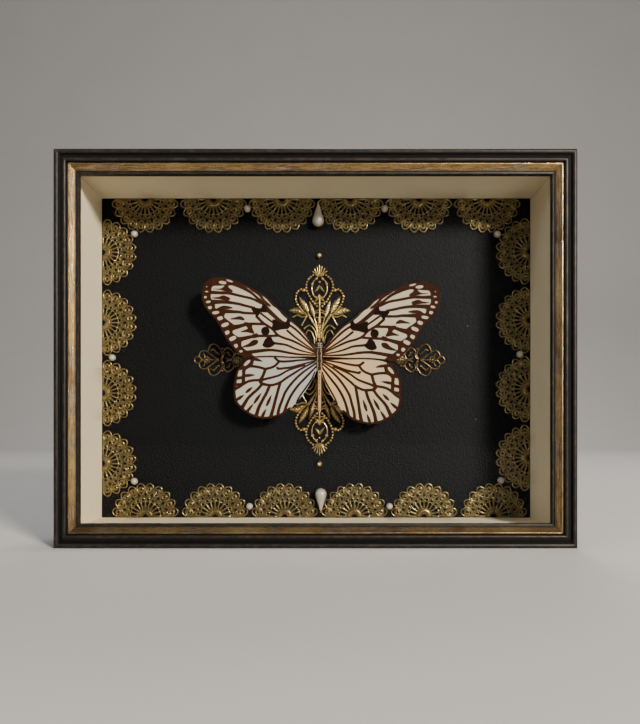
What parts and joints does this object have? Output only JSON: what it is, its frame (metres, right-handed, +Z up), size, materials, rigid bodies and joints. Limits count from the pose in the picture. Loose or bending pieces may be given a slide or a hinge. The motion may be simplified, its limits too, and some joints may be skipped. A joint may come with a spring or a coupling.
{
  "type": "framed butterfly specimen",
  "caption": "Box frame in black and gilt moulding with glass, holding a spread butterfly over brass filigree, bordered by half rosettes and pearls.",
  "frame": {"origin": "centre of the bounding box, on the surface that the frame stands on", "axes": "+X along the width to the viewer's right, -Y out of the glass towards the viewer, +Z up"},
  "size_m": [0.215, 0.044, 0.164],
  "materials": {
    "moulding": "satin black paint with a worn gilt sight edge",
    "glass": "clear and polished",
    "lining": "matt cream mount board",
    "card": "black leather-grain paper",
    "panel": "plain hardboard",
    "steel": "dull",
    "brass": "antiqued",
    "pearl": "pearl lustre",
    "wing": "matt scales, cream with brown markings",
    "insect_body": "matt"
  },
  "bodies": {
    "root": {"frame_top_rail": "moulding", "frame_bottom_rail": "moulding", "frame_left_rail": "moulding", "frame_right_rail": "moulding", "glass_pane": "glass", "lining_top": "lining", "lining_bottom": "lining", "lining_left": "lining", "lining_right": "lining", "backing_card": "card", "back_panel": "panel", "retaining_point_top": "steel", "retaining_point_bottom": "steel", "retaining_point_left": "steel", "retaining_point_right": "steel", "mounting_pin": "steel", "rosette_top_1": "brass", "rosette_top_2": "brass", "rosette_top_3": "brass", "rosette_top_4": "brass", "rosette_top_5": "brass", "rosette_top_6": "brass", "rosette_bottom_1": "brass", "rosette_bottom_2": "brass", "rosette_bottom_3": "brass", "rosette_bottom_4": "brass", "rosette_bottom_5": "brass", "rosette_bottom_6": "brass", "rosette_left_1": "brass", "rosette_left_2": "brass", "rosette_left_3": "brass", "rosette_left_4": "brass", "rosette_right_1": "brass", "rosette_right_2": "brass", "rosette_right_3": "brass", "rosette_right_4": "brass", "filigree_upper": "brass", "filigree_lower": "brass", "filigree_left": "brass", "filigree_right": "brass", "bead_top": "brass", "bead_bottom": "brass", "pearl_top_left": "pearl", "pearl_top_right": "pearl", "pearl_bottom_left": "pearl", "pearl_bottom_right": "pearl", "pearl_left": "pearl", "pearl_right": "pearl", "pearl_corner_top_left": "pearl", "pearl_corner_top_right": "pearl", "pearl_corner_bottom_left": "pearl", "pearl_corner_bottom_right": "pearl", "drop_pearl_top": "pearl", "drop_pearl_bottom": "pearl", "forewing_left": "wing", "forewing_right": "wing", "hindwing_left": "wing", "hindwing_right": "wing", "butterfly_body": "insect_body"}
  },
  "joints": []
}
